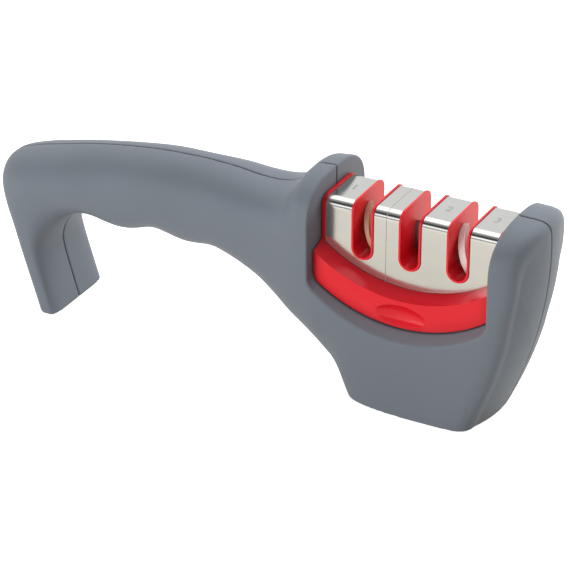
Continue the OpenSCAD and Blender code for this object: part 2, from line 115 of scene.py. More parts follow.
@dataclass(frozen=True)
class Drawing:
    """The driving sizes that the looks need, as the construction has them."""

    length: float = 203.0
    height: float = 74.2
    width: float = 45.0
    bay_length: float = 63.8
    nose_length: float = 12.2
    sill_height: float = 30.3
    smile_radius: float = 52.0
    smile_corner: float = 5.2
    side_clear: float = 0.45
    floor_clear: float = 0.3
    fit: float = 0.12
    tray_depth: float = 34.2
    band_height: float = 9.6
    ledge_rise: float = 1.6
    cover_rise: float = 27.5
    cover_depth: float = 21.9
    cover_shoulder: float = 3.4
    cover_sheet: float = 0.6
    cover_tuck: float = 1.6
    flange: float = 1.2
    slot_pitch: float = 16.9
    slot_width: float = 8.0
    slot_depth: float = 19.4
    slots: tuple[int, ...] = (-1, 0, 1)
    bead: float = 0.8
    bead_proud: float = 0.35

    @property
    def head_x(self) -> float:
        """Middle of the bay."""
        return self.length / 2 - self.nose_length - self.bay_length / 2

    @property
    def ledge_z(self) -> float:
        """Lowest point of the ledge, at the tray's front."""
        return self.sill_height + self.floor_clear + self.band_height

    @property
    def window_y(self) -> float:
        """How far from the seam the bay's flared window begins."""
        return self.tray_depth / 2 + self.side_clear

    @property
    def arc_centre(self) -> float:
        """Height of the point that the curved ledge turns about."""
        return self.ledge_z + self.smile_radius

    @property
    def cover_top(self) -> float:
        """Height of the steel cover's top."""
        return self.ledge_z + self.cover_rise

    @property
    def cover_length(self) -> float:
        """Length of the steel cover between the flanges."""
        return self.bay_length - 2 * (self.side_clear + self.flange)

    @property
    def slot_floor(self) -> float:
        """Lowest point of the cut-outs in the cover."""
        return self.cover_top - self.slot_depth

    @property
    def corner_rise(self) -> float:
        """Height of the centres of the bay's corners over its lowest point."""
        corner, radius = self.smile_corner, self.smile_radius
        return radius - math.sqrt((radius - corner) ** 2 - (self.bay_length / 2 - corner) ** 2)

    def along(self, place: float) -> float:
        """Turns a place along the object into its X.

        Args:
            place: -1 at the heel, 0 and 1 at the bay's walls, 2 at the nose.

        Returns:
            X in millimetres.
        """
        half, end = self.bay_length / 2, self.length / 2
        marks = (-end, self.head_x - half, self.head_x + half, end)
        return float(np.interp(place, (-1, 0, 1, 2), marks))

    def slot_x(self, number: float) -> float:
        """X of a slot's middle, counted from the middle slot."""
        return self.head_x + number * self.slot_pitch


# Mesh making


def put_in_scene(name: str, data: ID) -> Object:
    """Makes an object of a mesh, curve, camera or lamp, and links it to the scene.

    Args:
        name: The object's name.
        data: What it holds.

    Returns:
        The object.
    """
    piece = bpy.data.objects.new(name, data)
    bpy.context.scene.collection.objects.link(piece)
    return piece


@contextmanager
def opened(mesh: Mesh) -> Iterator[BMesh]:
    """Opens a mesh for changes, and writes them back.

    Args:
        mesh: The mesh.

    Yields:
        Its editable form.
    """
    work = bmesh.new()
    work.from_mesh(mesh)
    yield work
    work.to_mesh(mesh)
    work.free()


def mesh_piece(name: str, points: Sequence[Spot] | np.ndarray,
               faces: Sequence[Sequence[int]] = (), edges: Sequence[Sequence[int]] = ()) -> Object:
    """Makes an object from points in millimetres.

    Args:
        name: The piece's name.
        points: Rows of X, Y and Z.
        faces: Point numbers of each face.
        edges: Point numbers of each loose edge.

    Returns:
        The new object, linked to the scene.
    """
    mesh = bpy.data.meshes.new(name)
    mesh.from_pydata((np.asarray(points, float) * MM).tolist(), edges, faces)
    mesh.update()
    return put_in_scene(name, mesh)


def settle(piece: Object) -> None:
    """Turns the evaluated piece into a plain mesh and drops its modifiers.

    Args:
        piece: The object to settle.
    """
    graph = bpy.context.evaluated_depsgraph_get()
    mesh = bpy.data.meshes.new_from_object(piece.evaluated_get(graph))
    piece.modifiers.clear()
    old = piece.data
    piece.data = mesh
    mesh.name = piece.name
    if old.users == 0:
        bpy.data.meshes.remove(old)


def outward(piece: Object, weld: float = 0.0) -> Object:
    """Welds doubles and turns every face outwards.

    Args:
        piece: The object to mend.
        weld: Distance in millimetres below which points are joined.

    Returns:
        The same object.
    """
    with opened(piece.data) as work:
        if weld:
            bmesh.ops.remove_doubles(work, verts=work.verts[:], dist=weld * MM)
        bmesh.ops.recalc_face_normals(work, faces=work.faces[:])
    return piece


def skin(name: str, rings: Sequence[Sequence[Spot]] | np.ndarray, weld: float = 0.0) -> Object:
    """Makes a closed form through rings of points, with a face on either end.

    Args:
        name: The piece's name.
        rings: Rows of X, Y and Z of each ring.
        weld: Distance in millimetres below which points are joined.

    Returns:
        The closed form.
    """
    points = np.asarray(rings, float)
    count, sides = points.shape[:2]
    faces = [list(range(sides)), list(range((count - 1) * sides, count * sides))[::-1]]
    for base in range(0, (count - 1) * sides, sides):
        faces += [[base + i, base + (i + 1) % sides, base + sides + (i + 1) % sides,
                   base + sides + i] for i in range(sides)]
    return outward(mesh_piece(name, points.reshape(-1, 3), faces), weld)


def prism(name: str, outline: Sequence[Point], axis: Axis, low: float, high: float) -> Object:
    """Extrudes an outline along an axis.

    Args:
        name: The piece's name.
        outline: Points as (Y, Z) for X, (X, Z) for Y or (X, Y) for Z.
        axis: The direction of the extrusion.
        low: Where it starts.
        high: Where it ends.

    Returns:
        The closed prism.
    """
    rings = np.zeros((2, len(outline), 3))
    rings[:, :, axis.value] = [[low], [high]]
    rings[:, :, axis.others] = outline
    return skin(name, rings)


def lathe(name: str, profile: Sequence[Point], origin: Spot, axis: Axis, sides: int) -> Object:
    """Turns a profile about a line through origin, with a flat face on either end.

    Args:
        name: The piece's name.
        profile: Points as (radius, place along the axis).
        origin: A point on the axis.
        axis: Direction of the axis.
        sides: Number of facets round it.

    Returns:
        The closed turned form.
    """
    turns = np.linspace(0, 2 * math.pi, sides, endpoint=False)
    rings = np.zeros((len(profile), sides, 3)) + origin
    for ring, (radius, place) in zip(rings, profile):
        ring[:, axis.value] += place
        ring[:, axis.others] += radius * np.stack([np.cos(turns), np.sin(turns)], 1)
    return skin(name, rings)


def arc(centre: Point, radius: float, start: float, end: float, count: int) -> list[Point]:
    """Points on an arc.

    Args:
        centre: Its centre.
        radius: Its radius.
        start: First angle in degrees, counted from the first axis.
        end: Last angle in degrees.
        count: Number of segments.

    Returns:
        The points, both ends included.
    """
    angles = np.radians(np.linspace(start, end, count + 1))
    return [(centre[0] + radius * math.cos(a), centre[1] + radius * math.sin(a)) for a in angles]


def combine(target: Object, tools: Sequence[Object], operation: str = "DIFFERENCE") -> None:
    """Cuts, joins or crosses a closed form with others, which are used up.

    Args:
        target: The form that is changed.
        tools: The forms that change it.
        operation: DIFFERENCE, UNION or INTERSECT.
    """
    for tool in tools:
        step = target.modifiers.new("cut", "BOOLEAN")
        step.operation = operation
        step.solver = "EXACT"
        step.object = tool
    settle(target)
    for tool in tools:
        mesh = tool.data
        bpy.data.objects.remove(tool)
        bpy.data.meshes.remove(mesh)


def soften(piece: Object, radius: float, segments: int = 2, angle: float = 40.0) -> None:
    """Rounds the sharp edges of a form with flat and turned faces, and shades it smooth.

    Args:
        piece: The form.
        radius: Width of the rounding in millimetres.
        segments: Facets across it.
        angle: Edges that turn more than this, in degrees, are rounded.
    """
    with opened(piece.data) as work:
        bmesh.ops.remove_doubles(work, verts=work.verts[:], dist=2 * WELD * MM)
        bmesh.ops.dissolve_limit(work, angle_limit=math.radians(FLAT), verts=work.verts[:],
                                 edges=work.edges[:])
    rounding = piece.modifiers.new("rounding", "BEVEL")
    rounding.width = radius * MM
    rounding.segments = segments
    rounding.limit_method = "ANGLE"
    rounding.angle_limit = math.radians(angle)
    rounding.miter_outer = "MITER_ARC"
    rounding.use_clamp_overlap = True
    shading = piece.modifiers.new("shading", "WEIGHTED_NORMAL")
    shading.keep_sharp = False
    shading.weight = 100
    piece.data.shade_smooth()
    settle(piece)


def node_copy(node: str, name: str) -> Object:
    """A welded copy of a CAD node's mesh, to be finished.

    Args:
        node: The CAD node.
        name: The copy's name.

    Returns:
        The copy, as a closed mesh.
    """
    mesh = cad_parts[node].data.copy()
    mesh.name = name
    mesh.materials.clear()
    for attribute in [a.name for a in mesh.attributes if a.name.startswith("custom_normal")]:
        mesh.attributes.remove(mesh.attributes[attribute])
    with opened(mesh) as work:
        bmesh.ops.remove_doubles(work, verts=work.verts[:], dist=WELD * MM)
    return put_in_scene(name, mesh)


def fit_out(piece: Object, body: Body, slot: Slot, material: Material, *nodes: str) -> None:
    """Gives a finished piece its material, its body and the CAD nodes that it stands for.

    Args:
        piece: The finished piece.
        body: The body that it rides on.
        slot: The record's material slot; not used.
        material: Its material.
        *nodes: CAD nodes that it replaces.
    """
    piece.data.materials.clear()
    piece.data.materials.append(material)
    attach(piece, body.value)
    if nodes:
        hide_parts(*nodes)
    triangles = sum(len(face.vertices) - 2 for face in piece.data.polygons)
    LOG.info("%s: %d triangles on %s", piece.name, triangles, body.value)


# Housing


@dataclass
class Housing:
    """The two moulded half shells, lofted through stations from the heel to the nose."""

    drawing: Drawing
    window_flare: float = 2.3
    scallop_depth: float = 2.6
    scallop_pitch: float = 25.4
    scallop_start_share: float = -0.702
    nose_crown_share: float = 0.26
    nose_bulge_share: float = 0.54
    crown_rows: int = 8
    crown_fade: int = 3
    pad_proud: float = 0.3
    seam_gap: float = 0.24
    floor_groove: float = 0.3
    screw_radius: float = 1.4
    screw_seat: float = 8.0
    head_share: float = 2.0
    well_sides: int = 32
    steps: int = 9
    ring: int = 56
    floor_segments: int = 40
    corner_segments: int = 12
    cell: float = 0.32
    smoothing: int = 4
    ear_round: float = 0.8
    rounding_passes: int = 3
    cap_rings: int = 26
    screw_place_shares: tuple[Point, ...] = (
        (-0.905, 0.59), (-0.52, 0.71), (-0.15, 0.66), (0.22, 0.19), (0.81, 0.19))
    # Outer place and height, inner place and height, width, level of the widest part, and how
    # square the outer and the inner side are: the construction's own table of shares
    station_shares: tuple[tuple[float, ...], ...] = (
        (-0.848, -0.108, -0.776, -0.108, 0.722, 0.35, 2.5, 4.4),
        (-0.867, 0.000, -0.793, 0.000, 0.722, 0.36, 2.5, 4.4),
        (-0.917, 0.270, -0.835, 0.256, 0.725, 0.42, 2.4, 4.0),
        (-0.953, 0.431, -0.836, 0.340, 0.721, 0.42, 2.3, 3.4),
        (-0.989, 0.566, -0.820, 0.406, 0.712, 0.42, 2.2, 3.0),
        (-0.998, 0.645, -0.798, 0.450, 0.703, 0.42, 2.1, 2.8),
        (-0.972, 0.711, -0.773, 0.483, 0.694, 0.42, 2.1, 2.7),
        (-0.908, 0.755, -0.741, 0.505, 0.680, 0.42, 2.1, 2.6),
        (-0.820, 0.793, -0.702, 0.515, 0.672, 0.42, 2.1, 2.5),
        (-0.710, 0.835, -0.631, 0.517, 0.660, 0.42, 2.1, 2.4),
        (-0.599, 0.865, -0.560, 0.517, 0.660, 0.42, 2.2, 2.4),
        (-0.489, 0.884, -0.477, 0.523, 0.666, 0.42, 2.3, 2.4),
        (-0.379, 0.889, -0.386, 0.527, 0.673, 0.42, 2.3, 2.4),
        (-0.292, 0.883, -0.312, 0.506, 0.694, 0.43, 2.5, 2.5),
        (-0.221, 0.870, -0.241, 0.468, 0.714, 0.45, 2.7, 2.7),
        (-0.166, 0.868, -0.176, 0.416, 0.742, 0.50, 2.8, 3.0),
        (-0.122, 0.883, -0.122, 0.354, 0.790, 0.56, 2.7, 3.4),
        (-0.091, 0.916, -0.076, 0.290, 0.842, 0.62, 2.6, 3.6),
        (-0.058, 0.986, -0.026, 0.231, 0.901, 0.70, 2.6, 3.8),
        (-0.022, 1.000, 0.045, 0.170, 0.937, 0.74, 2.6, 4.0),
        (0.094, 1.000, 0.138, 0.082, 0.959, 0.79, 2.6, 4.1),
        (0.344, 0.995, 0.253, -0.120, 0.982, 0.82, 2.6, 4.7),
        (0.625, 0.984, 0.464, -0.230, 0.998, 0.84, 2.6, 6.2),
        (0.875, 0.970, 0.678, -0.230, 1.000, 0.84, 2.6, 6.4),
        (1.150, 0.961, 0.763, -0.230, 0.992, 0.84, 2.6, 6.2),
        (1.560, 0.960, 0.793, -0.230, 0.965, 0.84, 2.7, 5.6),
        (1.820, 0.951, 0.809, -0.230, 0.917, 0.84, 2.8, 5.2),
        (1.960, 0.925, 0.816, -0.230, 0.842, 0.84, 2.8, 5.0),
        (2.000, 0.876, 0.818, -0.230, 0.715, 0.84, 2.8, 5.0),
    )

    def stations(self) -> np.ndarray:
        """The station table in millimetres, with each station's share of the nose's crown.

        Returns:
            One row for each station.
        """
        size, rows = self.drawing, []
        for number, share in enumerate(self.station_shares):
            crown = (number - len(self.station_shares) + self.crown_rows) / self.crown_fade
            rows.append((size.along(share[0]), share[1] * size.height, size.along(share[2]),
                         share[3] * size.height, share[4] * size.width / 2, *share[5:],
                         min(max(crown, 0.0), 1.0)))
        return np.array(rows)

    def smooth_stations(self) -> np.ndarray:
        """Stations blended by a Catmull-Rom curve, steps of them to each of the table's.

        Returns:
            Rows as in stations.
        """
        table = self.stations()
        ends = np.concatenate([table[:1], table, table[-1:]])
        rows = []
        for first in range(len(table) - 1):
            a, b, c, d = ends[first:first + 4]
            for t in np.arange(self.steps) / self.steps:
                rows.append(0.5 * (2 * b + (c - a) * t + (2 * a - 5 * b + 4 * c - d) * t * t
                                   + (3 * b - a - 3 * c + d) * t ** 3))
        return np.array(rows + [table[-1]])

    def scallop(self, x: float) -> float:
        """Drop of the grip's underside at x: two full waves, one for each scallop."""
        turn = (x - self.drawing.along(self.scallop_start_share)) / self.scallop_pitch
        return -self.scallop_depth * (1 - math.cos(2 * math.pi * min(max(turn, 0.0), 2.0))) / 2

    def section(self, row: np.ndarray, scale: float = 1.0) -> np.ndarray:
        """One section of the front half, from the outer seam to the inner.

        Both ends lie a little behind the seam, so that one cut makes the seam flat.

        Args:
            row: A station.
            scale: Share of the full section, for the rings that close the nose.

        Returns:
            Points in millimetres.
        """
        out_x, out_z, in_x, in_z, half, belly, outer_square, inner_square, crown = row
        outer, inner = np.array([out_x, out_z]), np.array([in_x, in_z + self.scallop(in_x)])
        angle = np.radians(90 - 180 * np.arange(self.ring + 1) / self.ring)
        upper = angle > 0
        power = 2 / np.where(upper, outer_square, inner_square)
        side = half * scale * np.clip(np.cos(angle), 0, 1) ** power
        swing = np.abs(np.sin(angle)) ** power
        full = np.where(upper, belly + (1 - belly) * swing, belly * (1 - swing))
        level = 0.5 + (full - 0.5) * scale
        place = inner + (outer - inner) * level[:, None]
        lean = self.drawing.nose_length * crown * (
            self.nose_bulge_share * 4 * level * (1 - level)
            - self.nose_crown_share * (side / half) ** 2)
        side[[0, -1]] = -OVER
        return np.stack([place[:, 0] + lean, -side, place[:, 1]], axis=1)

    def loft(self, name: str) -> Object:
        """The closed front half of the form, before anything is cut from it.

        Args:
            name: Its name.

        Returns:
            The closed form.
        """
        rows = self.smooth_stations()
        rings = [self.section(row) for row in rows]
        turns = np.linspace(0, math.pi / 2, self.cap_rings + 2)[1:-1]
        rings += [self.section(rows[-1], share) for share in np.cos(turns)]
        return skin(name, rings, WELD)

    @property
    def flare_slope(self) -> float:
        """Fall of the window's flare, as a share of its depth."""
        return self.window_flare / (self.drawing.width / 2 - self.drawing.window_y)

    def smile(self, drop: float) -> list[Point]:
        """Front view of the bay: upright walls, rounded corners and an arched floor.

        Args:
            drop: How far the outline lies below the construction's floor.

        Returns:
            Points as (X, Z).
        """
        size = self.drawing
        half, corner = size.bay_length / 2, size.smile_corner
        radius, floor = size.smile_radius, size.sill_height - drop
        centre_z, top = floor + size.corner_rise, size.height + 2 * OVER
        turn = math.degrees(math.asin((half - corner) / (radius - corner)))
        left, right = size.head_x - half, size.head_x + half
        outline = [(left, top)]
        outline += arc((left + corner, centre_z), corner, 180, 270 - turn, self.corner_segments)
        outline += arc((size.head_x, floor + radius), radius, 270 - turn, 270 + turn,
                       self.floor_segments)[1:-1]
        outline += arc((right - corner, centre_z), corner, 270 + turn, 360, self.corner_segments)
        outline.append((right, top))
        return outline

    def bay(self) -> Object:
        """The space of the bay in the front half, with its flared window.

        Returns:
            The closed form.
        """
        inner, outer = self.drawing.window_y, self.drawing.width / 2 + OVER
        flared = self.smile(self.flare_slope * (outer - inner) + self.floor_groove)
        upright = self.smile(self.floor_groove)
        outlines = ((-outer, flared), (-inner, upright), (OVER, upright))
        return skin("bay", [[(x, y, z) for x, z in outline] for y, outline in outlines])

    def half(self, side: Side, pads: "Pads") -> Object:
        """One half shell, cut, with its edges softened.

        Args:
            side: Which half.
            pads: The pads, whose pockets are cut.

        Returns:
            The finished mesh.
        """
        size = self.drawing
        name = f"housing_{side.name.lower()}_shell"
        shell = self.loft(name)
        outer_skin = BVHTree.FromObject(shell, bpy.context.evaluated_depsgraph_get())
        far = size.length
        block = [(-far, -far), (far, -far), (far, far), (-far, far)]
        floor = prism("floor_cut", block, Axis.Z, -size.height, self.pad_proud)
        behind = prism("seam_cut", block, Axis.Y, -self.seam_gap, size.width)
        combine(shell, [self.bay(), floor, behind])
        combine(shell, pads.pockets())
        if side is Side.REAR:
            shell.data.transform(Matrix.Diagonal((1, -1, 1, 1)))
            outward(shell)
            combine(shell, self.screw_wells())
        skin = shell.modifiers.new("skin", "REMESH")
        skin.mode = "VOXEL"
        skin.voxel_size = self.cell * MM
        smooth = shell.modifiers.new("smooth", "SMOOTH")
        smooth.factor = 0.5
        smooth.iterations = self.smoothing
        settle(shell)
        self.round_ears(shell, side, outer_skin)
        shell.data.shade_smooth()
        return shell

    def screw_wells(self) -> list[Object]:
        """Wells in the rear half for the heads of the housing screws.

        Returns:
            One form for each screw.
        """
        size, wells = self.drawing, []
        bore = self.screw_radius + 2 * size.fit
        head = self.head_share * self.screw_radius + 2 * size.fit
        for number, (place, rise) in enumerate(self.screw_place_shares):
            profile = [(bore, OVER), (bore, self.screw_seat), (head, self.screw_seat),
                       (head, size.width)]
            middle = (size.along(place), 0, rise * size.height)
            wells.append(lathe(f"well_{number}", profile, middle, Axis.Y, self.well_sides))
        return wells

    def bay_depth(self, points: np.ndarray) -> tuple[np.ndarray, np.ndarray]:
        """How far points lie outside the bay's space, and the way out of it.

        Args:
            points: Rows of X, Y and Z in millimetres.

        Returns:
            The distance into the material, negative in the bay, and unit vectors away from it.
        """
        size = self.drawing
        corner, radius = size.smile_corner, size.smile_radius
        drop = self.flare_slope * np.maximum(np.abs(points[:, 1]) - size.window_y, 0)
        x = points[:, 0] - size.head_x
        z = points[:, 2] + drop + self.floor_groove
        half = size.bay_length / 2
        centre = size.sill_height + radius
        low = size.sill_height + size.corner_rise
        side = np.sign(x)
        depth = np.abs(x) - half
        out = np.stack([side, np.zeros_like(x)], 1)
        # The corner's arc and the floor's arc meet on the line through both centres
        past = np.abs(x) * (centre - low) > (centre - z) * (half - corner)
        in_corner, in_arc = (z < low) & past, (z < low) & ~past
        bend = np.stack([np.abs(x) - (half - corner), z - low], 1)
        reach = np.linalg.norm(bend, axis=1)
        depth[in_corner] = reach[in_corner] - corner
        out[in_corner] = (bend / reach[:, None] * np.stack([side, np.ones_like(x)], 1))[in_corner]
        arm = np.stack([x, z - centre], 1)
        length = np.linalg.norm(arm, axis=1)
        depth[in_arc] = length[in_arc] - radius
        out[in_arc] = (arm / length[:, None])[in_arc]
        return depth, np.stack([out[:, 0], np.zeros_like(x), out[:, 1]], 1)

    def round_ears(self, shell: Object, side: Side, skin: BVHTree) -> None:
        """Rolls the moulding's skin over into the bay with a radius.

        Args:
            shell: A finished half.
            side: Which half it is.
            skin: The uncut front half's surface.
        """
        count = len(shell.data.vertices)
        places = np.empty(count * 3)
        shell.data.vertices.foreach_get("co", places)
        places = places.reshape(-1, 3) / MM
        radius = self.ear_round
        for _ in range(self.rounding_passes):
            bay, away = self.bay_depth(places)
            near = np.nonzero((bay < radius) & (bay > -radius))[0]
            for i in near:
                x, y, z = places[i]
                probe = Vector((x, y * -side.value, z)) * MM
                spot, normal, _, gap = skin.find_nearest(probe)
                if spot is None or gap > 2 * radius * MM:
                    continue
                inside = -(probe - spot).dot(normal) / MM
                outer = np.array((normal.x, normal.y * -side.value, normal.z))
                a, b = radius - inside, radius - bay[i]
                if a <= 0 or b <= 0:
                    continue
                reach = math.hypot(a, b)
                push = (a * outer - b * away[i]) / reach
                places[i] -= (reach - radius) * push
        shell.data.vertices.foreach_set("co", (places * MM).ravel())
        shell.data.update()


# Pads, screws and what repeats


@dataclass(frozen=True)
class Pad:
    """A rounded rectangle of rubber under the housing, seen from above."""

    node: str
    length: float
    width: float
    place_share: float
    corner: float
    corner_segments: int = 8

    def outline(self, drawing: Drawing, grow: float) -> list[Point]:
        """Its outline as (X, Y), grown by grow on every side.

        Args:
            drawing: The driving sizes.
            grow: Added on every side.

        Returns:
            Points as (X, Y).
        """
        points = []
        for turn, (x, y) in enumerate(((1, 1), (-1, 1), (-1, -1), (1, -1))):
            centre = (drawing.along(self.place_share) + x * (self.length / 2 - self.corner),
                      y * (self.width / 2 - self.corner))
            points += arc(centre, self.corner + grow, 90 * turn, 90 * turn + 90,
                          self.corner_segments)
        return points


@dataclass
class Pads:
    """The two non-slip rubber pads under the head and the heel."""

    drawing: Drawing
    thickness: float = 1.8
    edge: float = 0.25
    kinds: tuple[Pad, ...] = (Pad("base_pad", 34.0, 31.0, 0.53, 7.75),
                              Pad("foot_pad", 4.6, 23.0, -0.829, 2.07))

    def pockets(self) -> list[Object]:
        """Pockets in the housing that the pads sit in."""
        return [prism(f"{kind.node}_pocket", kind.outline(self.drawing, self.drawing.fit),
                      Axis.Z, -OVER, self.thickness) for kind in self.kinds]

    def build(self, rubber: Material) -> None:
        """Makes both pads.

        Args:
            rubber: Their material.
        """
        for kind in self.kinds:
            pad = prism(f"{kind.node}_rubber", kind.outline(self.drawing, 0), Axis.Z, 0,
                        self.thickness)
            soften(pad, self.edge, segments=3)
            fit_out(pad, Body.HOUSING, Slot.PADS, rubber, kind.node)


class TreeFiller:
    """What fills a node tree, of geometry or of shaders."""

    tree: NodeTree

    def put(self, socket: NodeSocket, value: object) -> None:
        """Links an input to another socket, or sets its value.

        Args:
            socket: The input.
            value: A socket or a plain value.
        """
        if isinstance(value, NodeSocket):
            self.tree.links.new(value, socket)
        else:
            socket.default_value = value

    def add(self, kind: str, links: dict[str | int, object] | None = None,
            **settings: object) -> Node:
        """Adds a node.

        Args:
            kind: The node's type.
            links: For each input, a socket to link or a value to set.
            **settings: Attributes of the node.

        Returns:
            The node.
        """
        node = self.tree.nodes.new(kind)
        for key, value in settings.items():
            setattr(node, key, value)
        for key, value in (links or {}).items():
            self.put(node.inputs[key], value)
        return node

    def fill(self, node: Node, **values: object) -> Node:
        """Links or sets inputs of a node.

        Args:
            node: The node.
            **values: Inputs by their name, in small letters and with underscores for spaces.

        Returns:
            The node.
        """
        sockets = {socket.name.replace(" ", "_").lower(): socket for socket in node.inputs}
        for title, value in values.items():
            self.put(sockets[title], value)
        return node

    def math(self, operation: str, *values: object, clamp: bool = False) -> NodeSocket:
        """A function of values or sockets."""
        return self.add("ShaderNodeMath", dict(enumerate(values)), operation=operation,
                        use_clamp=clamp).outputs[0]

    def scaled(self, value: object, share: object) -> NodeSocket:
        """A share of a value."""
        return self.math("MULTIPLY", value, share)

    def vector(self, x: object = 0.0, y: object = 0.0, z: object = 0.0) -> NodeSocket:
        """A vector from three values or sockets."""
        return self.add("ShaderNodeCombineXYZ", {0: x, 1: y, 2: z}).outputs[0]


@dataclass
class GeometryTree(TreeFiller):
    """A geometry node tree that runs on a seed mesh."""

    name: str
    inputs: Sequence[str]

    def __post_init__(self) -> None:
        """Makes the tree with its named inputs and its geometry sockets."""
        self.tree = bpy.data.node_groups.new(self.name, "GeometryNodeTree")
        face = self.tree.interface
        face.new_socket("Geometry", in_out="INPUT", socket_type="NodeSocketGeometry")
        for title in self.inputs:
            face.new_socket(title, in_out="INPUT", socket_type="NodeSocketFloat")
        face.new_socket("Geometry", in_out="OUTPUT", socket_type="NodeSocketGeometry")
        self.source = self.tree.nodes.new("NodeGroupInput")
        self.sink = self.tree.nodes.new("NodeGroupOutput")

    def raised(self, kind: str, rise: object, links: dict[str, object]) -> NodeSocket:
        """Adds a primitive and moves it along Z.

        Args:
            kind: The primitive's node type.
            rise: How far it moves.
            links: For each of its inputs, a socket to link or a value to set.

        Returns:
            The moved geometry.
        """
        return self.add("GeometryNodeTransform", {
            "Geometry": self.add(kind, links).outputs["Mesh"],
            "Translation": self.vector(z=rise)}).outputs[0]

    def boolean(self, operation: str, parts: Sequence[NodeSocket],
                base: NodeSocket | None = None) -> NodeSocket:
        """Joins parts, or cuts them from a base.

        Args:
            operation: DIFFERENCE or UNION.
            parts: The parts.
            base: What they are cut from, if anything.

        Returns:
            The result.
        """
        node = self.add("GeometryNodeMeshBoolean", {0: base} if base else None,
                        operation=operation, solver="EXACT")
        for part in parts:
            self.put(node.inputs[1], part)
        return node.outputs[0]

    def finish(self, geometry: NodeSocket, material: Material) -> None:
        """Ends the tree in real geometry with a material.

        Args:
            geometry: What the tree gives out.
            material: Its material.
        """
        real = self.add("GeometryNodeRealizeInstances", {"Geometry": geometry})
        dressed = self.add("GeometryNodeSetMaterial", {"Geometry": real.outputs[0],
                                                       "Material": material})
        self.put(self.sink.inputs[0], dressed.outputs[0])

    def run(self, piece: Object, **values: float) -> None:
        """Runs the tree on an object and settles the result.

        Args:
            piece: The object whose mesh the tree reads.
            **values: Inputs by their name, in small letters and with underscores for spaces.
        """
        modifier = piece.modifiers.new(self.name, "NODES")
        modifier.node_group = self.tree
        for item in self.tree.interface.items_tree:
            title = item.name.replace(" ", "_").lower()
            if item.in_out == "INPUT" and title in values:
                modifier[item.identifier] = values[title]
        settle(piece)


@dataclass
class Screws:
    """The housing's five screws and the cartridge's two: pan heads with a cross recess.

    A head's sizes are shares of its shank's radius.
    """

    drawing: Drawing
    housing: Housing
    housing_length: float = 14.0
    post_radius: float = 1.0
    post_length: float = 12.0
    post_seat: float = 6.4
    post_height_share: float = 0.62
    post_places: Point = (-0.5, 0.5)
    crown_share: float = 1.4
    rise_share: float = 1.6
    recess_share: float = 2.0
    slit_share: float = 0.2
    head_sides: int = 40
    shank_sides: int = 32

    def tree(self, steel: Material) -> GeometryTree:
        """Makes the node tree that sets a screw on every point, along Y.

        Args:
            steel: The screws' material.

        Returns:
            The tree.
        """
        tree = GeometryTree("pan_head_screws", ("Shank Radius", "Shank Length"))
        points, radius, length = tree.source.outputs[:3]
        brim, crown, rise, reach, slit = (tree.scaled(radius, share) for share in (
            self.housing.head_share, self.crown_share, self.rise_share, self.recess_share,
            self.slit_share))
        half = tree.scaled(rise, 0.5)
        parts = [
            tree.raised("GeometryNodeMeshCylinder", tree.scaled(half, 0.5),
                        {"Vertices": self.head_sides, "Radius": brim, "Depth": half}),
            tree.raised("GeometryNodeMeshCone", half,
                        {"Vertices": self.head_sides, "Radius Bottom": brim,
                         "Radius Top": crown, "Depth": half}),
            tree.raised("GeometryNodeMeshCylinder", tree.scaled(length, -0.5),
                        {"Vertices": self.shank_sides, "Radius": radius, "Depth": length})]
        recess = [tree.raised("GeometryNodeMeshCube", rise, {"Size": tree.vector(x, y, rise)})
                  for x, y in ((reach, slit), (slit, reach))]
        screw = tree.boolean("DIFFERENCE", recess, base=tree.boolean("UNION", parts))
        placed = tree.add("GeometryNodeInstanceOnPoints", {
            "Points": points, "Instance": screw, "Rotation": (math.radians(-90), 0.0, 0.0)})
        tree.finish(placed.outputs[0], steel)
        return tree

    def build(self, steel: Material) -> None:
        """Makes both groups of screws.

        Args:
            steel: Their material.
        """
        size, shell = self.drawing, self.housing
        level = size.ledge_z + self.post_height_share * size.cover_rise
        groups = (
            (Body.HOUSING, shell.screw_radius, self.housing_length,
             [(size.along(place), shell.screw_seat, rise * size.height)
              for place, rise in shell.screw_place_shares]),
            (Body.CARTRIDGE, self.post_radius, self.post_length,
             [(size.slot_x(number), self.post_seat, level) for number in self.post_places]))
        tree = self.tree(steel)
        for body, radius, length, places in groups:
            group = mesh_piece(f"{body.value}_screw_set", places)
            tree.run(group, shank_radius=radius * MM, shank_length=length * MM)
            fit_out(group, body, Slot.SCREWS, steel, f"{body.value}_screws")


# Cartridge


def hood(half: float, top: float, corner: float, low: float) -> list[Point]:
    """Side view of an upside-down U with round shoulders.

    Args:
        half: Half its depth.
        top: Its height.
        corner: Radius of the shoulders.
        low: Height of its open end.

    Returns:
        Points as (Y, Z), from the rear leg over the top to the front leg.
    """
    points = [(half, low)]
    points += arc((half - corner, top - corner), corner, 0, 90, SHOULDER_SEGMENTS)
    points += arc((corner - half, top - corner), corner, 90, 180, SHOULDER_SEGMENTS)
    points.append((-half, low))
    return points


